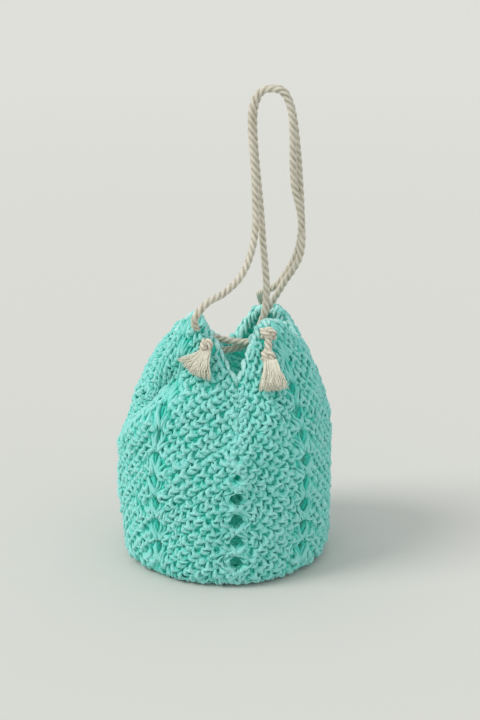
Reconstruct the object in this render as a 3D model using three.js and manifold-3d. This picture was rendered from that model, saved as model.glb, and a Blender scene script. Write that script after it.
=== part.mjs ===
// A crocheted bucket bag with one twisted rope that is both its drawstring and its two handles.
// Millimetres, +Z up, front toward -Y. The origin is the grip, the top of the two rope loops.
import * as THREE from "three";
import { mergeVertices } from "three/addons/utils/BufferGeometryUtils.js";
import Module from "manifold-3d";

const wasm = await Module();
wasm.setup();

// Driving dimensions of the bag
const bagCentre = new THREE.Vector2(-53, 5);
const handleHeight = 245;
const bodyHeight = 303;
const bellyRadius = 120.5;
const floorInset = 4;
const bellyHeight = 100;
const shoulderHeight = 110;
const cornerRadius = 14;
const wallThickness = 8;
const leanPower = 2.2;
const twistPower = 1.3;
// The rim turns eight times: low at the even turns, a flap peak at the odd ones.
// Angles go anticlockwise from the front, and drop is how far the rim lies below the tallest peak.
const rimTurns = [
  { footAngle: 6, rimAngle: 10, rimRadius: 76, drop: 71 },
  { footAngle: 47, rimAngle: 47, rimRadius: 66, drop: 9 },
  { footAngle: 92, rimAngle: 88, rimRadius: 90, drop: 51 },
  { footAngle: 139, rimAngle: 130, rimRadius: 69, drop: 12 },
  { footAngle: 186, rimAngle: 178, rimRadius: 58, drop: 67 },
  { footAngle: 231, rimAngle: 246, rimRadius: 52, drop: 25 },
  { footAngle: 276, rimAngle: 293, rimRadius: 62, drop: 69 },
  { footAngle: 321, rimAngle: 326, rimRadius: 60, drop: 0 },
];
const eyeletDiameter = 10.5;
const eyeletPitch = 25;
const highestEyeletDrop = 97;
const lowestEyeletHeight = 28;

// Driving dimensions of the rope and what is tied in it
const ropeDiameter = 8.5;
const ropeHoleClearance = 0.8;
const gap = 0.3;
const stopperKnot = { across: 18, along: 11, out: 17 };
const tailLength = 13;
const tasselKnot = { across: 18, along: 14, out: 14 };
const leftKnot = { across: 12, along: 17, out: 15 };
const rightTassel = { length: 34, topWidth: 12, halfAngle: 17, topThickness: 9, endThickness: 12 };
const leftTassel = { length: 29, topWidth: 9, halfAngle: 38, topThickness: 8, endThickness: 8 };

// How finely the shapes are divided
const wallColumns = 64;
const wallLevels = [0, 0.004, 0.018, 0.045, 0.12, 0.24, 0.36, 0.48, 0.6, 0.7, 0.79, 0.87, 0.94, 1];
const rimRounding = [45, 90, 135];
const ropeSides = 10;
const stepsPerRopePoint = 2;

// The way of the rope, from the right knot to the left knot
const ropePoints = [
  [-7, -57, -267.2], [-12, -42, -274.5], [-28, -31, -282], [-51, -30, -280], [-69, -37, -273],
  [-79, -51, -264], [-85, -66, -255], [-84, -77, -241], [-71, -73, -226], [-53, -56, -219],
  [-33, -39, -201], [-20, -26, -165], [-19, -17, -105],
  [-22, -8, -21], [-11.5, -7, -2.8], [9.5, -7, -2.8], [20, -7, -21],
  [25, -4, -105], [34, 1, -150], [29, 9, -188], [8, 22, -226],
  [-7, 46, -240], [-12, 69, -249], [-9, 84, -263], [-7, 79, -283], [-10, 62, -292],
  [-13, 44, -287], [-8, 29, -267], [13, 13, -226], [33, 3, -188], [34, 5, -142],
  [21, 7, -20], [11, 7, -2.7], [-9, 7, -2.7], [-19, 7, -20],
  [-11, -12, -155], [-7, -24, -244], [-24, -20, -284], [-62, -35, -292], [-71.2, -72.6, -276.2],
].map((point) => new THREE.Vector3(...point));

// The wall's middle surface. column counts the rim turns around the bag, rise goes from 0 at the
// floor to 1 at the rim, and the wall leans inward above the shoulder.
function wallPoint(column, rise) {
  const index = Math.floor(column);
  const share = column - index;
  const from = rimTurns[index % rimTurns.length];
  const to = rimTurns[(index + 1) % rimTurns.length];
  const lap = (count) => 360 * Math.floor(count / rimTurns.length);
  const [valley, peak] = index % 2 === 0 ? [from, to] : [to, from];
  const towardPeak = Math.sin((Math.PI / 2) * (index % 2 === 0 ? share : 1 - share));
  const drop = THREE.MathUtils.lerp(valley.drop, peak.drop, towardPeak);
  const rimRadius = THREE.MathUtils.lerp(valley.rimRadius, peak.rimRadius, towardPeak);
  const foot = THREE.MathUtils.lerp(from.footAngle + lap(index), to.footAngle + lap(index + 1), share);
  const rim = THREE.MathUtils.lerp(from.rimAngle + lap(index), to.rimAngle + lap(index + 1), share);
  const rimHeight = bodyHeight - drop;
  const aboveFloor = (rimHeight - wallThickness / 2) * rise;
  const height = wallThickness / 2 + aboveFloor;
  const bulge = Math.sin((Math.PI / 2) * Math.min(height / bellyHeight, 1));
  const cornerShare = Math.max(1 - aboveFloor / cornerRadius, 0);
  const corner = cornerRadius * (1 - Math.sqrt(1 - cornerShare ** 2));
  const body = bellyRadius - floorInset + floorInset * bulge - corner;
  const lean = Math.max((height - shoulderHeight) / (rimHeight - shoulderHeight), 0);
  const radius = body + (rimRadius - body) * lean ** leanPower;
  const angle = THREE.MathUtils.degToRad(foot + (rim - foot) * lean ** twistPower);
  return new THREE.Vector3(
    bagCentre.x + radius * Math.sin(angle),
    bagCentre.y - radius * Math.cos(angle),
    height - bodyHeight - handleHeight,
  );
}

// The wall's outward and upward directions at a place, from its neighbours.
function wallDirections(column, rise) {
  const nearby = 0.001;
  const turns = rimTurns.length;
  const sideways = wallPoint(column + nearby, rise).sub(wallPoint((column - nearby + turns) % turns, rise));
  const upward = wallPoint(column, Math.min(rise + nearby, 1)).sub(wallPoint(column, Math.max(rise - nearby, 0)));
  const outward = rise === 0 ? new THREE.Vector3(0, 0, -1) : sideways.clone().cross(upward).normalize();
  return { outward, upward: upward.normalize() };
}

function meshData(positions, triangles) {
  const geometry = new THREE.BufferGeometry();
  geometry.setAttribute("position", new THREE.Float32BufferAttribute(positions, 3));
  geometry.setIndex(triangles);
  return geometry;
}

// A closed skin from rings of equal length, with a middle point on the first and the last ring.
function skin(rings, firstMiddle, lastMiddle) {
  const positions = [firstMiddle, ...rings.flat(), lastMiddle].flatMap((point) => point.toArray());
  const count = rings[0].length;
  const lastIndex = 1 + rings.length * count;
  const triangles = [];
  for (let side = 0; side < count; side += 1) {
    const next = (side + 1) % count;
    triangles.push(0, 1 + next, 1 + side);
    for (let ring = 0; ring < rings.length - 1; ring += 1) {
      const low = 1 + ring * count;
      const high = low + count;
      triangles.push(low + side, low + next, high + next, low + side, high + next, high + side);
    }
    const top = lastIndex - count;
    triangles.push(top + side, top + next, lastIndex);
  }
  return meshData(positions, triangles);
}

function solid(geometry) {
  const bare = new THREE.BufferGeometry();
  bare.setAttribute("position", geometry.getAttribute("position").clone());
  bare.setIndex(geometry.getIndex());
  const merged = mergeVertices(bare, 1e-4);
  const vertProperties = new Float32Array(merged.getAttribute("position").array);
  const triVerts = new Uint32Array(merged.getIndex().array);
  return new wasm.Manifold(new wasm.Mesh({ numProp: 3, vertProperties, triVerts }));
}

function fromSolid(body) {
  const mesh = body.getMesh();
  return meshData(Array.from(mesh.vertProperties), Array.from(mesh.triVerts));
}

// A round tube along a curve, stepped evenly in the curve's own parameter.
function tube(curve, diameter, steps) {
  curve.getPointAt = (share, target) => curve.getPoint(share, target);
  curve.getTangentAt = (share, target) => curve.getTangent(share, target);
  const circle = new THREE.Shape();
  for (let side = 0; side < ropeSides; side += 1) {
    const angle = (2 * Math.PI * side) / ropeSides;
    const [x, y] = [(diameter / 2) * Math.cos(angle), (diameter / 2) * Math.sin(angle)];
    if (side === 0) {
      circle.moveTo(x, y);
    } else {
      circle.lineTo(x, y);
    }
  }
  return new THREE.ExtrudeGeometry(circle, { steps, extrudePath: curve, bevelEnabled: false });
}

const ropeLine = new THREE.CatmullRomCurve3(ropePoints);

const ropeSpans = ropePoints.length - 1;

// The room that the rope needs, in stretches of a few points, and straight on past each of its ends.
function ropeRoom() {
  const diameter = ropeDiameter + 2 * ropeHoleClearance;
  const pointsPerStretch = 3;
  const stepsPerPoint = 4;
  const rooms = [0, 1].map((share) => {
    const end = ropeLine.getPoint(share);
    const past = ropeLine.getTangent(share).multiplyScalar(wallThickness);
    return solid(tube(new THREE.LineCurve3(end.clone().sub(past), end.clone().add(past)), diameter, 1));
  });
  for (let first = 0; first < ropeSpans; first += pointsPerStretch) {
    const count = Math.min(pointsPerStretch, ropeSpans - first);
    const stretch = new THREE.Curve();
    stretch.getPoint = (share, target) => ropeLine.getPoint((first + count * share) / ropeSpans, target);
    rooms.push(solid(tube(stretch, diameter, count * stepsPerPoint)));
  }
  return rooms;
}

// A round hole straight through the wall.
function eyelet(column, height) {
  const rimHeight = bodyHeight - rimTurns[column].drop;
  const rise = (height - wallThickness / 2) / (rimHeight - wallThickness / 2);
  const cylinder = new THREE.CylinderGeometry(eyeletDiameter / 2, eyeletDiameter / 2, 4 * wallThickness, 14);
  const { outward } = wallDirections(column, rise);
  cylinder.applyQuaternion(new THREE.Quaternion().setFromUnitVectors(new THREE.Vector3(0, 1, 0), outward));
  cylinder.translate(...wallPoint(column, rise).toArray());
  return solid(cylinder);
}

function bagBody() {
  const profile = [
    ...wallLevels.map((rise) => ({ rise, turn: 0 })),
    ...rimRounding.map((turn) => ({ rise: 1, turn })),
    ...wallLevels.toReversed().map((rise) => ({ rise, turn: 180 })),
  ];
  const rings = profile.map(({ rise, turn }) => {
    const angle = THREE.MathUtils.degToRad(turn);
    return Array.from({ length: wallColumns }, (_, index) => {
      const column = (rimTurns.length * index) / wallColumns;
      const { outward, upward } = wallDirections(column, rise);
      return wallPoint(column, rise)
        .addScaledVector(outward, (wallThickness / 2) * Math.cos(angle))
        .addScaledVector(upward, (wallThickness / 2) * Math.sin(angle));
    });
  });
  const floor = -bodyHeight - handleHeight;
  const under = new THREE.Vector3(bagCentre.x, bagCentre.y, floor);
  const above = new THREE.Vector3(bagCentre.x, bagCentre.y, floor + wallThickness);
  let body = solid(skin(rings, under, above));
  for (const room of ropeRoom()) {
    body = body.subtract(room);
  }
  for (let column = 0; column < rimTurns.length; column += 2) {
    const highest = bodyHeight - rimTurns[column].drop - highestEyeletDrop;
    for (let height = highest; height > lowestEyeletHeight; height -= eyeletPitch) {
      body = body.subtract(eyelet(column, height));
    }
  }
  return fromSolid(body);
}

// A knot is a rounded body with two rope turns showing on it, tied across its own axis.
function knot(centre, axis, outward, size) {
  const across = new THREE.Vector3().crossVectors(axis, outward).normalize();
  const facing = new THREE.Vector3().crossVectors(across, axis).normalize();
  const geometry = new THREE.SphereGeometry(1, 18, 12);
  const merged = mergeVertices(meshData(Array.from(geometry.getAttribute("position").array),
    Array.from(geometry.getIndex().array)), 1e-4);
  const position = merged.getAttribute("position");
  const turnDepth = 0.07;
  for (let index = 0; index < position.count; index += 1) {
    const unit = new THREE.Vector3().fromBufferAttribute(position, index);
    const around = Math.atan2(unit.z, unit.x);
    const roundness = Math.sqrt(Math.max(1 - unit.y ** 2, 0));
    const swell = 1 - turnDepth * roundness * (1 - Math.cos(4 * unit.y * Math.PI + around));
    const point = centre.clone()
      .addScaledVector(across, (unit.x * swell * size.across) / 2)
      .addScaledVector(axis, (unit.y * size.along) / 2)
      .addScaledVector(facing, (unit.z * swell * size.out) / 2);
    position.setXYZ(index, point.x, point.y, point.z);
  }
  return merged;
}

// A tassel is a flat fan of frayed strands: wider, and uneven, toward its free end.
function tassel(start, direction, outward, size) {
  const side = new THREE.Vector3().crossVectors(outward, direction).normalize();
  const facing = new THREE.Vector3().crossVectors(direction, side).normalize();
  const spread = THREE.MathUtils.degToRad(size.halfAngle);
  const apexDistance = size.topWidth / 2 / Math.tan(spread);
  const apex = start.clone().addScaledVector(direction, -apexDistance);
  const sides = 32;
  const rings = [0, 0.15, 0.4, 0.7, 1].map((share) => Array.from({ length: sides }, (_, index) => {
    const around = (2 * Math.PI * index) / sides;
    const strand = Math.cos(8 * around);
    const fan = spread * Math.cos(around);
    const uneven = 1 + 0.05 * share * strand;
    const distance = share === 0 ? apexDistance / Math.cos(fan) : apexDistance + size.length * share * uneven;
    const thickness = THREE.MathUtils.lerp(size.topThickness, size.endThickness, share) * (1 + 0.1 * share * strand);
    return apex.clone()
      .addScaledVector(direction, distance * Math.cos(fan))
      .addScaledVector(side, distance * Math.sin(fan))
      .addScaledVector(facing, (thickness / 2) * Math.sin(around));
  }));
  const end = apex.clone().addScaledVector(direction, apexDistance + size.length);
  return skin(rings, start, end);
}

const materials = {
  bag: { color: 0x6cb9ab, roughness: 0.95 },
  rope: { color: 0xd9c9a6, roughness: 0.9 },
};

function piece(name, geometry, material) {
  const mesh = new THREE.Mesh(geometry, new THREE.MeshStandardMaterial(material));
  mesh.name = name;
  return mesh;
}

// The pieces on the rope follow from its two ends: knot, tail, knot and tassel at the right,
// knot and tassel at the left.
const rightWay = ropeLine.getTangent(0).negate();
const rightDown = new THREE.Vector3(0, -0.4, -0.917).projectOnPlane(rightWay).normalize();
const stopperCentre = ropePoints[0].clone().addScaledVector(rightWay, stopperKnot.out / 2 + gap);
const tailDirection = new THREE.Vector3(0, -0.46, -0.888).normalize();
const tailStart = stopperCentre.clone().addScaledVector(tailDirection, stopperKnot.along / 2 + gap);
const tailEnd = tailStart.clone().addScaledVector(tailDirection, tailLength);
const tasselKnotCentre = tailEnd.clone().addScaledVector(tailDirection, tasselKnot.along / 2 + gap);
const rightTasselDirection = new THREE.Vector3(0.12, -0.38, -0.917).normalize();
const rightTasselStart = tasselKnotCentre.clone().addScaledVector(rightTasselDirection, tasselKnot.along / 2 + gap);
const leftWay = ropeLine.getTangent(1);
const leftKnotCentre = ropePoints.at(-1).clone().addScaledVector(leftWay, leftKnot.out / 2 + gap);
const leftTasselDirection = new THREE.Vector3(-0.55, -0.3, -0.78).normalize();
const leftTasselStart = leftKnotCentre.clone().addScaledVector(leftTasselDirection, leftKnot.along / 2 + gap);

const bag = new THREE.Group();
bag.name = "crochet_bucket_bag";
const ropeSteps = stepsPerRopePoint * ropeSpans;
bag.add(
  piece("bag_body", bagBody(), materials.bag),
  piece("drawstring_rope", tube(ropeLine, ropeDiameter, ropeSteps), materials.rope),
  piece("right_stopper_knot", knot(stopperCentre, rightDown, rightWay, stopperKnot), materials.rope),
  piece("right_rope_tail", tube(new THREE.LineCurve3(tailStart, tailEnd), ropeDiameter, 1), materials.rope),
  piece("right_tassel_knot", knot(tasselKnotCentre, tailDirection, rightWay, tasselKnot), materials.rope),
  piece("right_tassel", tassel(rightTasselStart, rightTasselDirection, rightWay, rightTassel), materials.rope),
  piece("left_stopper_knot", knot(leftKnotCentre, leftTasselDirection, leftWay, leftKnot), materials.rope),
  piece("left_tassel", tassel(leftTasselStart, leftTasselDirection, leftWay, leftTassel), materials.rope),
);

export default bag;
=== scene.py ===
"""A crocheted cotton bucket bag held by its twisted rope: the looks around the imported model.

Metres, +Z up, front toward -Y. Shapes are worked out in millimetres and scaled when a mesh is made.
"""
import bpy
import numpy as np
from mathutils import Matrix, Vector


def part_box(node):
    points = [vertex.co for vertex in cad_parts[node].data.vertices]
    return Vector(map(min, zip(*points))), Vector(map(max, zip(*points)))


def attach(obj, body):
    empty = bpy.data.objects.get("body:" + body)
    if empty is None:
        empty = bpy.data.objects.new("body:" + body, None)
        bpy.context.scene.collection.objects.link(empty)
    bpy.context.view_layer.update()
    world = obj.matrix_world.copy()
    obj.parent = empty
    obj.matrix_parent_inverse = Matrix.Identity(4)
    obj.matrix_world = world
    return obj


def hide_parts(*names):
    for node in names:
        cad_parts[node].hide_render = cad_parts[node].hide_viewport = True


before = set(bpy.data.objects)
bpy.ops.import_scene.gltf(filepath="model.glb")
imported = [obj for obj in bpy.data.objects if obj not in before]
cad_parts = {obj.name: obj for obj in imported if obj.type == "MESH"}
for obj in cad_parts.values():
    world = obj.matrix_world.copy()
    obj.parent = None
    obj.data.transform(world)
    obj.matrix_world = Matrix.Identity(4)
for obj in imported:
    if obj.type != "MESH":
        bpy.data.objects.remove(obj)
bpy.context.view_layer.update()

# The camera stands about a metre and a half in front of the hanging bag and looks slightly down
# at it. Its lens gives the upright frame of a photograph 720 pixels high.
sensor_height = 24.0
picture_height_pixels = 720
focal_length_pixels = 1312
looking_down_degrees = 15.6
camera_data = bpy.data.cameras.new("camera")
camera_data.sensor_fit = "VERTICAL"
camera_data.sensor_height = sensor_height
camera_data.lens = sensor_height * focal_length_pixels / picture_height_pixels
camera_data.clip_end = 1000.0
camera = bpy.data.objects.new("camera", camera_data)
camera.location = (-0.0357, -1.4753, 0.100)
camera.rotation_euler = (np.radians(90 - looking_down_degrees), 0, 0)
bpy.context.collection.objects.link(camera)
bpy.context.scene.camera = camera
bpy.context.scene.view_settings.view_transform = "Standard"

# Drawstring and handles: one three-strand cotton rope, 8.5 mm thick and 1.54 m long. It starts at
# the right knot, is threaded through the flaps and across the mouth, forms two tall loops and
# ends at the left knot. The points are its route.
rope_diameter = 8.5
rope_lay = 26.0
rope_step = 1.5
into_knot = 5.0
ply_turns = 18
rope_points = np.array([
    [-7, -57, -267.2], [-12, -42, -274.5], [-28, -31, -282], [-51, -30, -280], [-69, -37, -273],
    [-79, -51, -264], [-85, -66, -255], [-84, -77, -241], [-71, -73, -226], [-53, -56, -219],
    [-33, -39, -201], [-20, -26, -165], [-19, -17, -105],
    [-22, -8, -21], [-11.5, -7, -2.8], [9.5, -7, -2.8], [20, -7, -21],
    [25, -4, -105], [34, 1, -150], [29, 9, -188], [8, 22, -226],
    [-7, 46, -240], [-12, 69, -249], [-9, 84, -263], [-7, 79, -283], [-10, 62, -292],
    [-13, 44, -287], [-8, 29, -267], [13, 13, -226], [33, 3, -188], [34, 5, -142],
    [21, 7, -20], [11, 7, -2.7], [-9, 7, -2.7], [-19, 7, -20],
    [-11, -12, -155], [-7, -24, -244], [-24, -20, -284], [-62, -35, -292], [-71.2, -72.6, -276.2],
])


def smooth_line(points, per_span):
    """A line through the points: between two of them a cubic whose end slopes come from their
    neighbours, weighed by the square root of the distances."""
    before = 2 * points[0] - points[1]
    after = 2 * points[-1] - points[-2]
    full = np.vstack([before, points, after])
    start, end = full[1:-2], full[2:-1]
    step_0, step_1, step_2 = [
        np.sqrt(np.linalg.norm(b - a, axis=1))[:, None]
        for a, b in ((full[:-3], start), (start, end), (end, full[3:]))
    ]
    chord = (end - start) / step_1
    slope_start = ((start - full[:-3]) / step_0 - (end - full[:-3]) / (step_0 + step_1) + chord) * step_1
    slope_end = (chord - (full[3:] - start) / (step_1 + step_2) + (full[3:] - end) / step_2) * step_1
    u = (np.arange(per_span) / per_span)[None, :, None]
    start, end, slope_start, slope_end = [a[:, None] for a in (start, end, slope_start, slope_end)]
    line = ((2 * u**3 - 3 * u**2 + 1) * start + (u**3 - 2 * u**2 + u) * slope_start
            + (3 * u**2 - 2 * u**3) * end + (u**3 - u**2) * slope_end)
    return np.vstack([line.reshape(-1, 3), points[-1:]])


def even_line(line, step):
    """The same line with points at an even distance, and its length so far at each."""
    run = np.concatenate([[0], np.cumsum(np.linalg.norm(np.diff(line, axis=0), axis=1))])
    even = np.linspace(0, run[-1], int(run[-1] / step) + 1)
    return np.stack([np.interp(even, run, line[:, axis]) for axis in range(3)], 1), even


def carried_frame(line, closed=False):
    """Two directions across the line at each point, carried along it without turning about it: a
    rough pair square to one fixed direction, turned back by all the turning that it has
    gathered so far."""
    ahead = np.gradient(line, axis=0) if not closed else np.roll(line, -1, 0) - np.roll(line, 1, 0)
    ahead /= np.linalg.norm(ahead, axis=1)[:, None]
    rough = np.cross(ahead, (0.31, 0.52, 0.79))
    rough /= np.linalg.norm(rough, axis=1)[:, None]
    other = np.cross(ahead, rough)
    onward = np.arctan2((rough[1:] * other[:-1]).sum(1), (rough[1:] * rough[:-1]).sum(1))
    gathered = np.concatenate([[0], np.cumsum(onward)])[:, None]
    side = np.cos(gathered) * rough - np.sin(gathered) * other
    return side, np.cross(ahead, side)


def quad_strip(rings, sides, closed=False):
    """Four-sided faces of a tube of rings of points, with its two ends shut unless it is a loop."""
    ring, side = np.meshgrid(np.arange(rings if closed else rings - 1), np.arange(sides), indexing="ij")
    next_ring, next_side = (ring + 1) % rings, (side + 1) % sides
    faces = np.stack([ring * sides + side, ring * sides + next_side,
                      next_ring * sides + next_side, next_ring * sides + side], -1).reshape(-1, 4)
    if closed:
        return faces
    k = np.arange(sides // 2 - 1)
    shut = np.stack([k, sides - 1 - k, sides - 2 - k, k + 1], 1)
    return np.vstack([faces, shut, shut[:, ::-1] + (rings - 1) * sides])


def build(name, points, faces, **attributes):
    """A smooth mesh from points in millimetres and four-sided faces, turned to point outwards by
    the sign of the volume it holds, with one number at each point for each attribute."""
    corners = points[faces]
    centre = points.mean(0)
    a, b, c, d = [corners[:, k] - centre for k in range(4)]
    volume = np.einsum("ij,ij->i", a, np.cross(b, c) + np.cross(c, d)).sum()
    if volume < 0:
        faces = faces[:, ::-1]
    mesh = bpy.data.meshes.new(name)
    mesh.vertices.add(len(points))
    mesh.vertices.foreach_set("co", (points * 0.001).astype(np.float32).ravel())
    mesh.loops.add(faces.size)
    mesh.loops.foreach_set("vertex_index", np.ascontiguousarray(faces, np.int32).ravel())
    mesh.polygons.add(len(faces))
    mesh.polygons.foreach_set("loop_start", np.arange(0, faces.size, 4, dtype=np.int32))
    mesh.polygons.foreach_set("use_smooth", np.ones(len(faces), bool))
    mesh.update(calc_edges=True)
    for key, values in attributes.items():
        layer = mesh.attributes.new(key, "FLOAT", "POINT")
        layer.data.foreach_set("value", np.asarray(values, np.float32).ravel())
    obj = bpy.data.objects.new(name, mesh)
    bpy.context.collection.objects.link(obj)
    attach(obj, "root")
    return obj


def rope_strand_shape(turn, strands=3):
    """How far the rope's skin lies from its middle, as a share of its radius: round strands side
    by side, each a circle that touches the next."""
    sector = 2 * np.pi / strands
    off = (turn + sector / 2) % sector - sector / 2
    size = 1 / (1 + 1 / np.sin(np.pi / strands))
    away = size / np.sin(np.pi / strands)
    pressed = 1.08
    skin = away * np.cos(off) + np.sqrt((pressed * size) ** 2 - (away * np.sin(off)) ** 2)
    filled = 0.25
    return skin * (1 - filled) + filled


def twisted_rope(line, diameter, step, lay, sides=18, closed=False, turn=0.0):
    """Skin of a laid rope: at each point of the line a ring whose strands turn once per lay."""
    line, run = even_line(line, step)
    if closed:
        line, run = line[:-1], run[:-1]
        lay = (run[-1] + step) / max(round((run[-1] + step) / lay), 1)
    side, other = carried_frame(line, closed)
    around = np.linspace(0, 2 * np.pi, sides, endpoint=False)[None, :]
    twist = 2 * np.pi * run[:, None] / lay + turn
    reach = diameter / 2 * rope_strand_shape(around + twist)
    points = (line[:, None] + (reach * np.cos(around))[..., None] * side[:, None]
              + (reach * np.sin(around))[..., None] * other[:, None])
    along = np.broadcast_to(run[:, None], reach.shape)
    strand_turn = (around + twist) / (2 * np.pi) + 0 * along
    # The depth is the skin's distance from the middle; the rope's material turns it into painted shade in
    # the grooves between the strands.
    depth = reach / (diameter / 2)
    return points.reshape(-1, 3), quad_strip(len(line), sides, closed), along, strand_turn, depth


def colour(red, green, blue):
    """A colour as seen on screen, from 0 to 255, turned into the linear values that shaders use."""
    seen = np.array([red, green, blue]) / 255
    return (*np.where(seen > 0.04045, ((seen + 0.055) / 1.055) ** 2.4, seen / 12.92), 1.0)


def add_node(owner, kind, inputs=None, **settings):
    """A shader node of a material or a world, with its settings and the values of its inputs."""
    node = owner.node_tree.nodes.new("ShaderNode" + kind)
    for key, value in settings.items():
        setattr(node, key, value)
    for key, value in (inputs or {}).items():
        node.inputs[key].default_value = value
    return node


def cotton(name, light, painted_shade_colour, hair_size, ply_scale, bump_depth, sheen, low, high):
    """Matt cotton: painted shade in the grooves and painted light on the crowns by the depth attribute,
    cloudy at two sizes, with slanting plies by the along and across attributes and a bump of fine hairs."""
    cloud_share, fleck_strength, ply_height = 0.14, 0.9, 0.35
    material = bpy.data.materials.new(name)
    material.use_nodes = True
    links = material.node_tree.links
    shader = material.node_tree.nodes["Principled BSDF"]
    shader.inputs["Roughness"].default_value = 0.92
    shader.inputs["Specular IOR Level"].default_value = 0.25
    shader.inputs["Sheen Weight"].default_value = sheen
    shader.inputs["Sheen Roughness"].default_value = 0.45

    # Painted shade and painted light: the depth attribute mixes the dark colour into the grooves and the
    # light colour onto the crowns.
    depth = add_node(material, "Attribute", attribute_name="depth")
    shade = add_node(material, "MapRange", {"From Min": low, "From Max": high})
    links.new(depth.outputs["Fac"], shade.inputs["Value"])
    place = add_node(material, "TexCoord")
    clouds = add_node(material, "TexNoise", {"Scale": 60.0, "Detail": 3.0})
    links.new(place.outputs["Object"], clouds.inputs["Vector"])
    spread = add_node(material, "MapRange", {"From Min": 0.3, "From Max": 0.7,
                                             "To Min": -cloud_share, "To Max": cloud_share})
    links.new(clouds.outputs["Fac"], spread.inputs["Value"])
    hairs = add_node(material, "TexNoise", {"Scale": hair_size, "Detail": 4.0, "Roughness": 0.7})
    links.new(place.outputs["Object"], hairs.inputs["Vector"])
    flecks = add_node(material, "Math", {1: fleck_strength}, operation="MULTIPLY_ADD")
    links.new(hairs.outputs["Fac"], flecks.inputs[0])
    links.new(spread.outputs["Result"], flecks.inputs[2])
    centred = add_node(material, "Math", {1: fleck_strength / 2}, operation="SUBTRACT")
    links.new(flecks.outputs[0], centred.inputs[0])
    total = add_node(material, "Math", operation="ADD", use_clamp=True)
    links.new(shade.outputs["Result"], total.inputs[0])
    links.new(centred.outputs[0], total.inputs[1])
    mix = add_node(material, "Mix", {"A": painted_shade_colour, "B": light}, data_type="RGBA")
    links.new(total.outputs[0], mix.inputs["Factor"])
    links.new(mix.outputs["Result"], shader.inputs["Base Color"])

    along = add_node(material, "Attribute", attribute_name="along")
    across = add_node(material, "Attribute", attribute_name="across")
    run = add_node(material, "Math", {1: ply_scale}, operation="MULTIPLY_ADD")
    links.new(along.outputs["Fac"], run.inputs[0])
    links.new(across.outputs["Fac"], run.inputs[2])
    wave = add_node(material, "Math", operation="SINE")
    links.new(run.outputs[0], wave.inputs[0])
    height = add_node(material, "Math", {1: ply_height}, operation="MULTIPLY_ADD")
    links.new(wave.outputs[0], height.inputs[0])
    links.new(hairs.outputs["Fac"], height.inputs[2])
    bump = add_node(material, "Bump", {"Strength": 0.6, "Distance": bump_depth})
    links.new(height.outputs[0], bump.inputs["Height"])
    links.new(bump.outputs["Normal"], shader.inputs["Normal"])
    return material


# The rope's dark colour is painted shade in the grooves between its strands, the light one painted light on
# their crowns.
rope_cotton = cotton("natural cotton rope", colour(224, 219, 203), colour(168, 160, 138),
                     900.0, 4.2, 0.0006, 0.25, 0.62, 1.0)
points_per_span = 24
rope_line = smooth_line(rope_points, points_per_span)
start_way = rope_line[0] - rope_line[1]
end_way = rope_line[-1] - rope_line[-2]
rope_line = np.vstack([
    rope_line[0] + start_way / np.linalg.norm(start_way) * into_knot,
    rope_line,
    rope_line[-1] + end_way / np.linalg.norm(end_way) * into_knot,
])
points, faces, along, turn, depth = twisted_rope(rope_line, rope_diameter, rope_step, rope_lay)
rope = build("twisted_drawstring_rope", points, faces, along=along, across=turn * ply_turns, depth=depth)
rope.data.materials.append(rope_cotton)
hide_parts("drawstring_rope")

# Knots at the rope's two ends, and the short tail between the two at the right. Each is an
# overhand knot drawn tight, so the rope in it is pressed thinner than the free rope.
knot_directions = {
    "right_stopper_knot": ((0.97, 0.1, -0.22), (0.25, -0.82, 0.5)),
    "right_tassel_knot": ((0.93, -0.1, -0.36), (0.2, -0.88, 0.4)),
    "left_stopper_knot": ((0.86, -0.2, -0.47), (0.15, -0.88, 0.45)),
}
knot_sizes = {"right_stopper_knot": (21, 14, 18), "right_tassel_knot": (18.5, 15, 17),
              "left_stopper_knot": (16, 17, 16)}
knot_rope = 7.2
knot_lay = 20.0
knot_step = 1.0


def overhand_line(across, up, out, size, thickness):
    """The closed line of an overhand knot drawn tight about the rope: twice round the up direction
    while it waves up and down three times, stretched so that rope of the thickness laid along it
    fills the size."""
    t = np.linspace(0, 2 * np.pi, 160)
    ring = 2 + np.cos(3 * t)
    turns = np.stack([ring * np.cos(2 * t + 0.5), np.sin(3 * t), ring * np.sin(2 * t + 0.5)], 1)
    reach = np.abs(turns).max(0)
    half = (np.array(size) - thickness) / 2
    return (turns / reach * half) @ np.array([across, up, out])


for node, (across, out) in knot_directions.items():
    low, high = [np.array(corner) * 1000 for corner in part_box(node)]
    across = np.array(across) / np.linalg.norm(across)
    up = np.cross(out, across)
    up /= np.linalg.norm(up)
    out = np.cross(across, up)
    line = overhand_line(across, up, out, knot_sizes[node], knot_rope) + (low + high) / 2
    points, faces, along, turn, depth = twisted_rope(line, knot_rope, knot_step, knot_lay, closed=True)
    knot = build("tied_" + node, points, faces, along=along, across=turn * ply_turns, depth=depth)
    knot.data.materials.append(rope_cotton)
    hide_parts(node)

low, high = [np.array(corner) * 1000 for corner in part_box("right_rope_tail")]
tail_diameter = 8.8
tail_lay = 22.0
tail_half_length = 10
tail_way = np.array([0, -0.46, -0.888])
tail_line = (low + high) / 2 + np.linspace(-tail_half_length, tail_half_length, 20)[:, None] * tail_way
points, faces, along, turn, depth = twisted_rope(tail_line, tail_diameter, knot_step, tail_lay)
tail = build("twisted_right_tail", points, faces, along=along, across=turn * ply_turns, depth=depth)
tail.data.materials.append(rope_cotton)
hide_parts("right_rope_tail")

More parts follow.
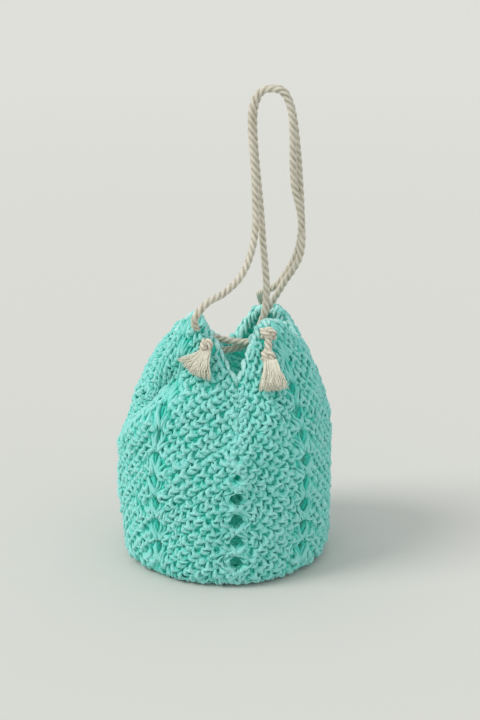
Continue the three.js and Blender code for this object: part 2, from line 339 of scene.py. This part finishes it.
# Tassels: the frayed ends of the rope below the last knots, where its cotton is unlaid into many
# loose wavy strands that spread. The right one hangs, the left one lies fanned out on the flap.
tassel_strands = 420
tassel_facts = {
    "right_tassel": dict(start=(-2.4, -80.6, -289.5), way=(0.12, -0.38, -0.917), out=(0.2, -0.88, 0.42),
                         length=35, spread=13, top=5.8, thick=4.8),
    "left_tassel": dict(start=(-71.0, -81.0, -277.0), way=(-0.55, -0.3, -0.78), out=(0.05, -0.9, 0.45),
                        length=33, spread=25, top=3.6, thick=4.2),
}
# The frayed cotton's dark colour is painted shade on the strands lying behind.
tassel_cotton = cotton("frayed cotton", colour(240, 238, 220), colour(208, 205, 184),
                       1500.0, 5.0, 0.0004, 0.35, 0.0, 1.0)


def many_tubes(count, rings, sides):
    """Faces of that many equal tubes, whose points follow one another."""
    first = np.arange(count) * rings * sides
    return (quad_strip(rings, sides)[None] + first[:, None, None]).reshape(-1, 4)


def frayed_strands(facts, count, seed):
    """Loose strands fanning from one end: each a thin tube that starts within the knot, leaves at
    its own angle, waves a little and ends at its own length."""
    chance = np.random.default_rng(seed)
    way = np.array(facts["way"]) / np.linalg.norm(facts["way"])
    side = np.cross(facts["out"], way)
    side /= np.linalg.norm(side)
    out = np.cross(way, side)
    rings, sides = 9, 4
    share = np.linspace(0, 1, rings)[None, :, None]
    fan = np.radians(facts["spread"]) * np.clip(chance.normal(0, 0.6, count), -1.1, 1.1)[:, None, None]
    lift = chance.uniform(-1, 1, count)[:, None, None]
    length = facts["length"] * chance.uniform(0.82, 1.0, count)[:, None, None]
    wave = chance.uniform(0, 2 * np.pi, (2, count))[..., None, None]
    wobble = 2.0 * share * np.sin(wave[0] + 10 * share)
    bulge = np.sin(np.pi * np.clip(share * 1.15, 0, 1)) * 2.2 + 2.0 * share
    run = length * share
    across = facts["top"] * fan / np.radians(facts["spread"]) + run * np.tan(fan * share**0.4) + wobble
    away = (lift * (facts["thick"] * (0.75 + 0.5 * share)) + bulge * 0.6
            + 0.8 * share * np.sin(wave[1] + 5 * share))
    drop = run * np.cos(fan)
    line = np.array(facts["start"]) + drop * way + across * side + away * out
    ahead = np.gradient(line, axis=1)
    ahead /= np.linalg.norm(ahead, axis=2)[..., None]
    one = np.cross(ahead, out)
    one /= np.linalg.norm(one, axis=2)[..., None]
    two = np.cross(ahead, one)
    radius = chance.uniform(0.38, 0.75, count)[:, None, None] * (1 - 0.6 * share**3)
    turn = np.linspace(0, 2 * np.pi, sides, endpoint=False)[None, None, :, None]
    outwards = np.cos(turn) * one[:, :, None] + np.sin(turn) * two[:, :, None]
    points = line[:, :, None] + radius[:, :, None] * outwards
    # Painted shade: strands lifted outwards are lighter and those lying behind darker, by a share that
    # differs at random.
    painted_strand_shade = (0.5 + 0.5 * lift * chance.uniform(0.4, 1, count)[:, None, None])[:, :, None, 0]
    painted_strand_shade = np.broadcast_to(painted_strand_shade, points.shape[:3])
    along = np.broadcast_to(run[:, :, None, 0], points.shape[:3])
    return points.reshape(-1, 3), many_tubes(count, rings, sides), along, painted_strand_shade


for seed, (node, facts) in enumerate(tassel_facts.items(), start=3):
    points, faces, along, painted_strand_shade = frayed_strands(facts, tassel_strands, seed)
    tassel = build("frayed_" + node, points, faces, along=along, across=painted_strand_shade * 9, depth=painted_strand_shade)
    tassel.data.materials.append(tassel_cotton)
    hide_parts(node)

# The bag's wall: crocheted in the round from aqua cotton yarn. The rounds run in zigzags, low at
# four columns where they draw together and high at four where they fan out. Positions on it are
# a column, counted 0 to 8 around the bag, and a height in millimetres along the wall.
bag_centre = np.array([-53, 5, -548.0])
body_height = 303.0
wall_thickness = 8.0
belly_radius = 120.5
floor_inset = 4.0
belly_height = 100.0
shoulder_height = 110.0
corner_radius = 14.0
rim_turns = np.array([
    [6, 10, 76, 71], [47, 47, 66, 9], [92, 88, 90, 51], [139, 130, 69, 12],
    [186, 178, 58, 67], [231, 246, 52, 25], [276, 293, 62, 69], [321, 326, 60, 0],
], float)
foot_reach = 26.0
roll_reach = 19.0
roll_radius = 5.5
rim_tuck = 9.0
rest_depth = 3.0
fold_column, fold_spread = -1.45, 0.75
fold_rise, fold_slope, fold_end_column = 175, 47, -1.8
fold_ridge = dict(height=6.5, below=14, spread=18)
fold_trough = dict(depth=23.0, above=30, spread=24)
notch_ridge = dict(height=4.0, spread=0.16, start=120, fade=40)
slack_waves = ((1.3, 5, 31, 0), (1.0, 9, -23, 1))
still_foot = 40


def wall_middle(column, rise):
    """The middle of the wall: straight from the rounded foot to the shoulder, then leaning in to
    the rim, whose height and radius swing between a low turn and the next peak as a sine."""
    index = np.floor(column).astype(int)
    share = column - index
    even = index % 2 == 0
    here, there = rim_turns[index % 8], rim_turns[(index + 1) % 8]
    valley, peak = np.where(even[..., None], here, there), np.where(even[..., None], there, here)
    toward = np.sin(np.pi / 2 * np.where(even, share, 1 - share))
    rim_height = body_height - (valley[..., 3] + (peak[..., 3] - valley[..., 3]) * toward)
    rim_radius = valley[..., 2] + (peak[..., 2] - valley[..., 2]) * toward
    foot = here[..., 0] + 360 * (index // 8)
    foot = foot + (there[..., 0] + 360 * ((index + 1) // 8) - foot) * share
    rim = here[..., 1] + 360 * (index // 8)
    rim = rim + (there[..., 1] + 360 * ((index + 1) // 8) - rim) * share
    above = (rim_height - wall_thickness / 2) * rise
    height = wall_thickness / 2 + above
    bulge = np.sin(np.pi / 2 * np.minimum(height / belly_height, 1))
    corner = corner_radius * (1 - np.sqrt(1 - np.maximum(1 - above / corner_radius, 0) ** 2))
    body = belly_radius - floor_inset + floor_inset * bulge - corner
    lean = np.maximum((height - shoulder_height) / (rim_height - shoulder_height), 0)
    radius = body + (rim_radius - body) * lean**2.2
    angle = np.radians(foot + (rim - foot) * lean**1.3)
    return np.stack([radius * np.sin(angle), -radius * np.cos(angle), height], -1) + bag_centre


def wall_grid(columns, samples):
    """Points and outward directions of the wall on a grid, and its arc length at each column. A
    column starts under the base, follows the wall and rolls over the rim to the inside in even
    steps of arc length. The cloth sags by two crossing sine waves; on the left flap a slanting
    fold, a bell-shaped ridge under a trough, presses it in, and a ridge rises to the front notch."""
    column = np.linspace(0, 8, columns)
    rise = np.linspace(0, 1, 500)
    grid_column, grid_rise = np.meshgrid(column, rise, indexing="ij")
    path = wall_middle(grid_column, grid_rise)
    run = np.concatenate([np.zeros((columns, 1)),
                          np.cumsum(np.linalg.norm(np.diff(path, axis=1), axis=2), axis=1)], 1)
    length = run[:, -1] - roll_radius
    wanted = -foot_reach + (length + foot_reach + roll_reach)[:, None] * np.linspace(0, 1, samples)
    apart = 1e4 * np.arange(columns)[:, None]
    held = np.clip(wanted, 0, length[:, None])
    on_wall = np.stack([np.interp((held + apart).ravel(), (run + apart).ravel(), path[..., axis].ravel())
                        .reshape(wanted.shape) for axis in range(3)], -1)
    foot_way = on_wall - (bag_centre + (0, 0, wall_thickness / 2))
    foot_way[..., 2] = 0
    foot_way /= np.linalg.norm(foot_way, axis=-1)[..., None]
    out_way = on_wall - bag_centre
    out_way[..., 2] = 0
    out_way /= np.linalg.norm(out_way, axis=-1)[..., None]
    up = path[:, -1] - path[:, -12]
    up /= np.linalg.norm(up, axis=-1)[:, None]
    round_way = np.roll(path[:-1, -1], -1, 0) - np.roll(path[:-1, -1], 1, 0)
    round_way = np.vstack([round_way, round_way[:1]])
    out = np.cross(round_way, up)
    out /= np.linalg.norm(out, axis=-1)[:, None]
    turn = (np.maximum(wanted - length[:, None], 0) / roll_radius)[..., None]
    rolled = roll_radius * ((np.cos(turn) - 1) * out[:, None] + np.sin(turn) * up[:, None])
    turns = np.radians(45.0) * np.linspace(0, 8, columns)[:, None]
    sag = sum(depth * np.sin(waves * turns + wanted / length_of_wave + start)
              for depth, waves, length_of_wave, start in slack_waves)
    from_front = (column[:, None] + 4) % 8 - 4
    left_flap = np.exp(-((from_front - fold_column) / fold_spread) ** 2)
    fold = fold_rise + fold_slope * (from_front - fold_end_column)
    ridge = np.exp(-((wanted - fold + fold_ridge["below"]) / fold_ridge["spread"]) ** 2)
    trough = np.exp(-((wanted - fold - fold_trough["above"]) / fold_trough["spread"]) ** 2)
    sag = sag + left_flap * (fold_ridge["height"] * ridge - fold_trough["depth"] * trough)
    notch = np.exp(-(from_front / notch_ridge["spread"]) ** 2)
    notch = notch * np.clip((wanted - notch_ridge["start"]) / notch_ridge["fade"], 0, 1)
    sag = sag + notch_ridge["height"] * notch
    sag = sag * np.clip(wanted / still_foot, 0, 1)
    points = on_wall + np.minimum(wanted, 0)[..., None] * foot_way + rolled
    points = points + sag[..., None] * out_way
    sideways = np.roll(points[:-1], -1, 0) - np.roll(points[:-1], 1, 0)
    sideways = np.concatenate([sideways, sideways[:1]], 0)
    outward = np.cross(sideways, np.gradient(points, axis=1))
    outward /= np.linalg.norm(outward, axis=-1)[..., None]
    return points, outward, length


grid_columns = 385
grid_samples = 300
grid_points, grid_outward, wall_length = wall_grid(grid_columns, grid_samples)


def on_wall(column, along, away):
    """Places on the wall from column, arc length and distance outwards, between grid points by
    shares of the four nearest."""
    column = column % 8 * (len(wall_length) - 1) / 8
    first = np.minimum(column.astype(int), len(wall_length) - 2)
    share = column - first
    length = wall_length[first] * (1 - share) + wall_length[first + 1] * share
    samples = grid_points.shape[1]
    step = (along + foot_reach) / (length + foot_reach + roll_reach) * (samples - 1)
    step = np.clip(step, 0, samples - 1.001)
    below = step.astype(int)
    rest = step - below
    weights = [(1 - share) * (1 - rest), share * (1 - rest), (1 - share) * rest, share * rest]
    places = [(first, below), (first + 1, below), (first, below + 1), (first + 1, below + 1)]
    middle = sum(w[..., None] * grid_points[p] for w, p in zip(weights, places))
    out = sum(w[..., None] * grid_outward[p] for w, p in zip(weights, places))
    out /= np.linalg.norm(out, axis=-1)[..., None]
    return middle + away[..., None] * out


def length_at(column):
    """The wall's arc length from foot to rim at a column."""
    return np.interp(column % 8, np.linspace(0, 8, len(wall_length)), wall_length)


# Stitches: every round is a zigzag line, and a stitch worked into it reaches to the next round.
# Where the rounds draw together an eyelet is left, and where they fan out a slit under each fan.
stitch_pitch = 10.2
stitch_height = 26.0
stitch_overlap = 1.04
valley_pitch, peak_pitch = 25.5, 26.9
round_numbers = np.arange(-7, 9)
round_swing = 100.0
round_starts = np.array([50, 150, 53, 152, 50, 152, 59, 156], float)
panel_width = np.diff(np.append(rim_turns[:, 0], 366)) * np.pi / 180 * belly_radius
rope_crossings = np.array([[-8.5, -52.5, -269.4], [-80, -53, -263], [-9.3, 69, -287], [-69.5, -66, -280]])


def round_height(panel, beside, number):
    """Arc length of a round's line at a distance beside the low column of a panel."""
    low = round_starts[panel if panel % 2 == 0 else (panel + 1) % 8] + valley_pitch * number
    high = round_starts[panel + 1 if panel % 2 == 0 else panel] + peak_pitch * number
    share = np.abs(beside) / panel_width[panel]
    near_peak = 0.03
    share = 1 + near_peak - np.sqrt((1 - share) ** 2 + near_peak**2)
    return low + (high - low) * share


def nearest_places(points):
    """Column and arc length of the wall's grid point nearest to each point."""
    flat = grid_points.reshape(-1, 3)
    found = np.array([np.argmin(((flat - point) ** 2).sum(1)) for point in points])
    column, step = np.unravel_index(found, grid_points.shape[:2])
    length = wall_length[column]
    along = -foot_reach + (length + foot_reach + roll_reach) * step / (grid_points.shape[1] - 1)
    return column * 8 / (len(wall_length) - 1), along


crossing_column, crossing_along = nearest_places(rope_crossings)
opening_fade = 30.0
lowest_opening = 30.0
upper_eyelets_from = 130
upper_eyelet_share = 0.6
panel_overlap = 2.0


def parted(panel, beside, along):
    """How far places are pushed from a panel's two edges, so that the columns there open: round
    eyelets at the low column, narrow slits under the fans at the high one. The push is half the
    opening's width at that height, by a rounded oval of the fourth power, and fades to nothing
    away from the edge. The upper eyelets are drawn nearly shut."""
    valley = panel if panel % 2 == 0 else (panel + 1) % 8
    peak = panel + 1 if panel % 2 == 0 else panel
    last_eyelet = 148.0 if valley == 0 else 236.0
    slit_half_width = 6.4 if peak == 1 else 4.0
    for starts, pitch, raised, wide, tall, last, sign, place in (
        (round_starts[valley], valley_pitch, 13.0, 8.3, 7.4, last_eyelet, 1, beside),
        (round_starts[peak], peak_pitch, -4.0, slit_half_width, 7.0, 230.0, -1, panel_width[panel] - beside),
    ):
        for middle in starts + pitch * round_numbers + raised:
            if not lowest_opening < middle < last:
                continue
            small = upper_eyelet_share if sign > 0 and middle > upper_eyelets_from else 1.0
            half = wide * small * np.sqrt(np.maximum(1 - ((along - middle) / (tall * small)) ** 4, 0))
            beside = beside + sign * half * (1 - np.clip(place, 0, opening_fade) / opening_fade)
    return beside


def laid(panel, flat, away):
    """Places beside and along the wall and away from it as points of the bag, kept within the rolled
    rim. What would reach below the floor is pressed flat: heights under the rest depth fall off
    as an exponential and never reach the floor."""
    side = 1 if panel % 2 == 0 else -1
    valley = panel if panel % 2 == 0 else panel + 1
    width = panel_width[panel]
    beside = np.clip(flat[..., 0], -panel_overlap, width + panel_overlap)
    beside = parted(panel, beside, flat[..., 1])
    column = valley + side * beside / width
    height = np.minimum(flat[..., 1], length_at(column) + rim_tuck)
    points = on_wall(column, height, away)
    low = (points[..., 2] - bag_centre[2]) / rest_depth
    points[..., 2] = bag_centre[2] + rest_depth * np.where(low < 1, np.exp(np.minimum(low, 1) - 1), low)
    return points


yarn_sides = 6
yarn_run = 2.4


def yarn_lengths(base, top, width, kind, chance):
    """One short length of yarn in every stitch: a closed tube along the kind's route, which is
    given across and up the stitch, with its own radii and heights above the wall. Each is turned,
    sized and bent a little by chance."""
    route, radii, lifts = [np.array(part, float) for part in kind]
    count, rings, sides = len(base), len(route), yarn_sides
    turn = np.linspace(0, 2 * np.pi, sides, endpoint=False)
    way = top - base
    long = np.linalg.norm(way, axis=1)[:, None]
    way = way / long
    right = np.stack([way[:, 1], -way[:, 0]], 1)
    tilt = chance.normal(0, 0.26, (count, 1))
    size = chance.uniform(0.88, 1.14, (count, 1))
    over = route[:, 0] * width[:, None] / 2 * size
    rise = (route[:, 1] - 0.5) * long
    bend = chance.normal(0, 0.42, (2, count, rings))
    moved = over * np.cos(tilt) - rise * np.sin(tilt) + bend[0]
    raised = over * np.sin(tilt) + rise * np.cos(tilt) + bend[1] + long / 2
    centre = base[:, None] + way[:, None] * raised[..., None] + right[:, None] * moved[..., None]
    ahead = np.gradient(centre, axis=1)
    ahead /= np.linalg.norm(ahead, axis=2)[..., None]
    across = np.stack([ahead[..., 1], -ahead[..., 0]], -1)
    radius = (radii * size * chance.uniform(0.9, 1.1, (count, rings)))[..., None]
    flat = centre[:, :, None] - across[:, :, None] * (radius * np.cos(turn))[..., None]
    away = (lifts + chance.normal(0, 0.6, (count, 1)))[..., None] + radius * np.sin(turn)
    along = np.broadcast_to((np.arange(rings) * yarn_run)[:, None], away.shape)
    around = np.broadcast_to(turn, away.shape)
    return flat, away, along, around


# Each kind of yarn length is its route across and up the stitch, its radii and its heights above
# the wall. A stitch has two plump lobes behind, the loop of yarn drawn over the post half way up,
# the sagging front loop of its top, whose ends rise to thin points, and a stray slanting strand.
stitch_kinds = [
    ([(0, -0.12), (0.05, 0.08), (-0.05, 0.28), (0, 0.48), (0, 0.62)],
     [1.4, 3.5, 4.2, 3.6, 1.2], [0.0, 0.7, 0.9, 0.4, -0.6]),
    ([(0, 0.4), (-0.05, 0.6), (0.05, 0.8), (0, 0.98), (0, 1.12)],
     [1.4, 3.5, 4.2, 3.6, 1.2], [0.0, 0.7, 0.9, 0.4, -0.6]),
    ([(-1.1, 0.62), (-0.75, 0.4), (-0.25, 0.28), (0.3, 0.32), (0.72, 0.47), (0.95, 0.68)],
     [0.5, 1.9, 2.7, 2.7, 1.9, 0.4], [2.0, 3.0, 3.5, 3.5, 3.1, 2.2]),
    ([(-1.2, 1.16), (-0.85, 0.92), (-0.35, 0.78), (0.25, 0.78), (0.75, 0.94), (1.15, 1.24)],
     [0.4, 2.0, 2.8, 2.9, 2.1, 0.4], [1.9, 3.1, 3.9, 4.0, 3.4, 2.4]),
    ([(0.55, 0.33), (0.42, 0.48), (0.15, 0.64), (-0.2, 0.77), (-0.5, 0.9), (-0.7, 1.04)],
     [0.5, 1.5, 1.9, 1.8, 1.2, 0.3], [3.0, 4.1, 4.6, 4.5, 3.9, 2.8]),
]
fan_kinds = [
    ([(0, -0.05), (0, 0.15), (0, 0.4), (0, 0.7), (0, 0.95), (0, 1.05)],
     [0.7, 1.7, 2.0, 2.1, 1.8, 0.7], [1.2, 3.0, 3.5, 3.0, 2.0, 0.8]),
    ([(0, -0.05), (0, 0.15), (0, 0.5), (0, 0.9), (0, 1.1)],
     [1.0, 2.2, 2.8, 2.8, 1.0], [-0.6, -0.6, -0.6, -0.6, -0.6]),
]
chain_kinds = [
    ([(1.0, -0.25), (0.85, 0.0), (0.62, 0.35), (0.35, 0.7), (0.12, 1.0), (0.0, 1.2)],
     [0.7, 1.9, 2.5, 2.5, 2.0, 0.8], [0.6, 1.6, 2.3, 2.4, 1.9, 0.9]),
    ([(-1.0, -0.25), (-0.85, 0.0), (-0.62, 0.35), (-0.35, 0.7), (-0.12, 1.0), (0.0, 1.2)],
     [0.7, 1.9, 2.5, 2.5, 2.0, 0.8], [0.6, 1.6, 2.3, 2.4, 1.9, 0.9]),
    ([(0, -0.3), (0, 0.1), (0, 0.5), (0, 0.9), (0, 1.3)],
     [1.5, 3.2, 3.3, 3.2, 1.5], [-1.2, -1.2, -1.2, -1.2, -1.2]),
]


crowding = 30.0
hand_unevenness = 0.55
mirrored_share = 0.3


def panel_stitches(panel, chance):
    """Base and top of every stitch in one half panel, beside its low column and along the wall. A
    stitch leans square to its slanting round, and near the low column the tops crowd together
    without crossing it: half the sum of the leaning place and the root of its square plus a
    little. Some stitches are mirrored."""
    width = panel_width[panel]
    count = int(round(np.hypot(width, round_swing) / stitch_pitch))
    number, place = np.meshgrid(round_numbers, np.arange(count), indexing="ij")
    number, place = number.ravel(), place.ravel()
    base_x = (place + 0.5) * width / count
    slope = np.arctan2(round_swing, width)
    tall = stitch_height * np.cos(slope)
    lead = base_x - tall * np.sin(slope)
    top_x = 0.5 * (lead + np.sqrt(lead**2 + crowding))
    low = round_height(panel, base_x, number)
    high = round_height(panel, top_x, number + 1)
    jitter = chance.normal(0, hand_unevenness, (4, len(number)))
    base = np.stack([base_x + jitter[0], low + jitter[1]], 1)
    top = np.stack([top_x + jitter[2], high + jitter[3]], 1)
    mirrored = np.where(chance.uniform(0, 1, len(number)) < mirrored_share, -1.0, 1.0)
    return base, top, mirrored * stitch_overlap * stitch_pitch


fan_posts = 3
fan_foot_pitch = 1.1
fan_top_pitch = 3.9
fan_post_width = 5.4


def fan_stitches(panel):
    """Base and top of the narrow posts that spread from one point under each peak, on the side of
    the peak that belongs to this half panel."""
    width = panel_width[panel]
    number, place = np.meshgrid(round_numbers, np.arange(fan_posts), indexing="ij")
    number, off = number.ravel(), 0.5 + place.ravel()
    base_x, top_x = width - off * fan_foot_pitch, width - off * fan_top_pitch
    base = np.stack([base_x, round_height(panel, base_x, number) + 2.0], 1)
    top = np.stack([top_x, round_height(panel, top_x, number + 1) + 1.0], 1)
    return base, top, np.full(len(number), fan_post_width)


gathered_share = 0.62
rope_hole_radius = 7.5


def panel_yarn(panel, places, kinds, chance):
    """All the yarn of a half panel's stitches laid on the wall. Stitches past the foot or the rim
    are left out, and so are those where the rope passes through. The crown, painted light on
    the tops and painted shade between them, grows with height over the wall's middle to either side."""
    base, top, width = places
    side = 1 if panel % 2 == 0 else -1
    valley = panel if panel % 2 == 0 else panel + 1
    middle = (base + top) / 2
    column = valley + side * middle[:, 0] / panel_width[panel]
    keep = (middle[:, 1] > -8) & (middle[:, 1] < length_at(column) + 1)
    for rope_column, rope_along in zip(crossing_column, crossing_along):
        apart = ((column - rope_column + 4) % 8 - 4) * panel_width[panel] * gathered_share
        keep &= np.hypot(apart, middle[:, 1] - rope_along) > rope_hole_radius
    parts = []
    for kind in kinds:
        flat, away, along, around = yarn_lengths(base[keep], top[keep], width[keep], kind, chance)
        points = laid(panel, flat, away)
        # Painted light and shade: yarn lighter the higher it stands over the wall's middle, outside and
        # inside, and darker in the gaps.
        painted_light_and_shade = np.clip(np.where(away > 0, (away - 0.8) / 5.4, -away / 3.4), 0, 1)
        faces = many_tubes(*away.shape)[:, ::side]
        parts.append((points.reshape(-1, 3), faces, along, around, painted_light_and_shade))
    return parts


def backing(panel):
    """The tangle of yarn behind the stitches of a half panel, as one thin sheet in painted shade that
    closes the gaps between them but not the eyelets: it runs across in front and back again behind."""
    across, up = 22, 170
    front, back = 0.9, -0.3
    lowest, highest = -20, 330
    # Painted shade: the sheet is coloured near the yarn's dark colour.
    in_shade = 0.12
    width = panel_width[panel]
    there = np.concatenate([np.linspace(0, width, across), np.linspace(width, 0, across)])
    behind = np.repeat([front, back], across)
    height = np.linspace(lowest, highest, up)
    flat = np.stack(np.broadcast_arrays(there[None, :], height[:, None]), -1)
    away = np.broadcast_to(behind, (up, 2 * across))
    points = laid(panel, flat, away)
    side = 1 if panel % 2 == 0 else -1
    faces = quad_strip(up, 2 * across)[:, ::side]
    along = np.broadcast_to(height[:, None], away.shape)
    return points.reshape(-1, 3), faces, along, away, 0 * away + in_shade


def joined(parts):
    """Several sets of points, faces and attributes as one."""
    start = np.cumsum([0] + [len(part[0]) for part in parts[:-1]])
    return (np.vstack([part[0] for part in parts]),
            np.vstack([part[1] + offset for part, offset in zip(parts, start)]),
            *[np.concatenate([np.ravel(part[k]) for part in parts]) for k in (2, 3, 4)])


# The yarn's dark colour is painted shade in the gaps and grooves, its light colour painted light on the
# crowns.
yarn_cotton = cotton("aqua cotton yarn", colour(154, 228, 221), colour(28, 212, 191),
                     1100.0, 1.9, 0.0012, 0.3, 0.0, 1.0)
# A paler copy of the same yarn: painted light on the rim.
painted_light_rim_cotton = cotton("aqua cotton yarn at the rim", colour(192, 243, 237), colour(126, 222, 211),
                     1100.0, 1.9, 0.0012, 0.3, 0.0, 1.0)
for name, panels in (("front", (7, 0)), ("right", (1, 2)), ("back", (3, 4)), ("left", (5, 6))):
    parts = []
    for panel in panels:
        chance = np.random.default_rng(20 + panel)
        parts += panel_yarn(panel, panel_stitches(panel, chance), stitch_kinds, chance)
        parts += panel_yarn(panel, fan_stitches(panel), fan_kinds, chance)
        parts.append(backing(panel))
    points, faces, along, around, painted_light_and_shade = joined(parts)
    piece = build("crochet_rounds_" + name, points, faces, along=along, across=around, depth=painted_light_and_shade)
    piece.data.materials.append(yarn_cotton)

# Rim: the last round's chain, seen from above as a row of V shapes along the edge. Its two legs
# lie outside and inside of the wall's top and meet over it. It is painted paler than the wall, as painted
# light.
rim_loops = 9
rim_width = 14.0
over_rim = 6.0
parts = []
for panel in range(8):
    chance = np.random.default_rng(60 + panel)
    width = panel_width[panel]
    edge = np.linspace(0, width, rim_loops + 1)
    side = 1 if panel % 2 == 0 else -1
    valley = panel if panel % 2 == 0 else panel + 1
    line = np.stack([edge, length_at(valley + side * edge / width) + over_rim], 1)
    flat_width = np.full(rim_loops, rim_width)
    for kind in chain_kinds:
        flat, away, along, around = yarn_lengths(line[:-1], line[1:], flat_width, kind, chance)
        column = valley + side * flat[..., 0] / width
        points = on_wall(column, flat[..., 1], away)
        # Painted light and shade: lighter the further the chain's yarn stands from the wall's middle.
        painted_light_and_shade = np.clip(0.35 + np.abs(away) / 8, 0, 1)
        faces = many_tubes(*away.shape)[:, ::side]
        parts.append((points.reshape(-1, 3), faces, along, around, painted_light_and_shade))
points, faces, along, around, painted_light_and_shade = joined(parts)
rim = build("rim_chain", points, faces, along=along, across=around, depth=painted_light_and_shade)
rim.data.materials.append(painted_light_rim_cotton)

# Base: a flat round of the same yarn, worked from the middle outwards, one ring of stitches after
# another, which the wall grows out of. A thin sheet of tangled yarn in painted shade lies in the middle of
# it.
base_reach = 100.0
ring_pitch = 14.0
base_middle = 4.7
flattened = 0.55
sheet_edge = 6
sheet_heights = (4.6, 3.4)
sheet_painted_shade = 0.25
parts = []
chance = np.random.default_rng(90)
for ring in np.arange(7.0, base_reach, ring_pitch):
    count = max(int(round(2 * np.pi * ring / stitch_pitch)), 4)
    place = (np.arange(count) + chance.uniform()) * 2 * np.pi / count
    start = np.stack([place * ring, np.full(count, ring - ring_pitch / 2)], 1)
    end = np.stack([place * ring, np.full(count, ring + ring_pitch / 2)], 1)
    for kind in stitch_kinds:
        flat, away, along, around = yarn_lengths(start, end, np.full(count, stitch_pitch), kind, chance)
        angle = flat[..., 0] / ring
        reach = flat[..., 1]
        height = base_middle - away * flattened
        points = np.stack([reach * np.sin(angle), -reach * np.cos(angle), height], -1) + bag_centre
        # Painted light and shade: the yarn is lighter the further it stands from the base's middle.
        painted_light_and_shade = np.clip(np.abs(away) / 6.5, 0, 1)
        parts.append((points.reshape(-1, 3), many_tubes(*away.shape), along, around, painted_light_and_shade))
rings, sides = 24, 96
outwards = np.linspace(2, base_reach + sheet_edge, rings // 2)
reach = np.concatenate([outwards, np.linspace(base_reach + sheet_edge, 2, rings // 2)])
height = np.repeat(sheet_heights, rings // 2)
angle = np.linspace(0, 2 * np.pi, sides, endpoint=False)
sheet = np.stack([reach[:, None] * np.sin(angle), -reach[:, None] * np.cos(angle),
                  np.broadcast_to(height[:, None], (rings, sides))], -1) + bag_centre
even = np.zeros((rings, sides))
# The sheet is coloured in painted shade.
parts.append((sheet.reshape(-1, 3), quad_strip(rings, sides)[:, ::-1], even, even, even + sheet_painted_shade))
points, faces, along, around, painted_light_and_shade = joined(parts)
base = build("base_rounds", points, faces, along=along, across=around, depth=painted_light_and_shade)
base.data.materials.append(yarn_cotton)

# Stage: a plain pale floor that runs to the horizon, painted a little lighter with distance as painted
# light, in pale surroundings of even light. The camera sees the surroundings in the floor's own colour.
floor_reach = 300.0
floor_level = -0.5483
corners = floor_reach * np.array([(-1, -1), (1, -1), (1, 1), (-1, 1)])
stage_mesh = bpy.data.meshes.new("floor")
stage_mesh.from_pydata([(x, y, floor_level) for x, y in corners], [], [(0, 1, 2, 3)])
floor = bpy.data.objects.new("floor", stage_mesh)
bpy.context.collection.objects.link(floor)
floor_paint = bpy.data.materials.new("floor paint")
floor_paint.use_nodes = True
links = floor_paint.node_tree.links
shader = floor_paint.node_tree.nodes["Principled BSDF"]
shader.inputs["Roughness"].default_value = 1.0
shader.inputs["Specular IOR Level"].default_value = 0.0
place = add_node(floor_paint, "TexCoord")
reach = add_node(floor_paint, "VectorMath", operation="LENGTH")
links.new(place.outputs["Object"], reach.inputs[0])
distance = add_node(floor_paint, "MapRange", {"From Min": 0.6, "From Max": 8.0})
links.new(reach.outputs["Value"], distance.inputs["Value"])
# Painted light: the floor's colour rises from near to far.
ramp = add_node(floor_paint, "ValToRGB")
ramp.color_ramp.elements[0].color = (0.624, 0.626, 0.590, 1)
ramp.color_ramp.elements[1].color = (0.650, 0.656, 0.614, 1)
links.new(distance.outputs["Result"], ramp.inputs["Fac"])
links.new(ramp.outputs["Color"], shader.inputs["Base Color"])
stage_mesh.materials.append(floor_paint)

world = bpy.data.worlds.new("pale room")
world.use_nodes = True
links = world.node_tree.links
light = world.node_tree.nodes["Background"]
light.inputs["Color"].default_value = (0.97, 0.985, 1.0, 1)
light.inputs["Strength"].default_value = 0.78
seen = add_node(world, "Background", {"Color": (0.71, 0.725, 0.67, 1), "Strength": 1.0})
rays = add_node(world, "LightPath")
choose = add_node(world, "MixShader")
links.new(rays.outputs["Is Camera Ray"], choose.inputs["Fac"])
links.new(light.outputs["Background"], choose.inputs[1])
links.new(seen.outputs["Background"], choose.inputs[2])
links.new(choose.outputs["Shader"], world.node_tree.nodes["World Output"].inputs["Surface"])
bpy.context.scene.world = world

# Lamps: two suns, a warm key from the upper left and a weak fill from the right, each as wide as
# a big soft box. A third, faint lamp inside stands for the daylight that seeps into a real bag
# between its loose stitches.
for name, place, strength, spread, tint in (
    ("key lamp", (-2.15, -0.78, 2.25), 1.60, 27, (1.0, 0.98, 0.95)),
    ("fill lamp", (1.65, -1.40, 0.90), 0.10, 38, (0.97, 0.99, 1.0)),
):
    lamp_data = bpy.data.lights.new(name, "SUN")
    lamp_data.energy = strength
    lamp_data.angle = np.radians(spread)
    lamp_data.color = tint
    lamp = bpy.data.objects.new(name, lamp_data)
    lamp.location = place
    tilt = np.arctan2(np.hypot(place[0], place[1]), place[2])
    lamp.rotation_euler = (tilt, 0, np.arctan2(place[1], place[0]) + np.pi / 2)
    bpy.context.collection.objects.link(lamp)
seeping = bpy.data.lights.new("light through the stitches", "POINT")
seeping.energy = 0.10
seeping.shadow_soft_size = 0.04
seeping.color = (0.75, 1.0, 0.96)
lamp = bpy.data.objects.new("light through the stitches", seeping)
lamp.location = (-0.053, 0.005, -0.40)
lamp.visible_camera = False
bpy.context.collection.objects.link(lamp)

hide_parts("bag_body")
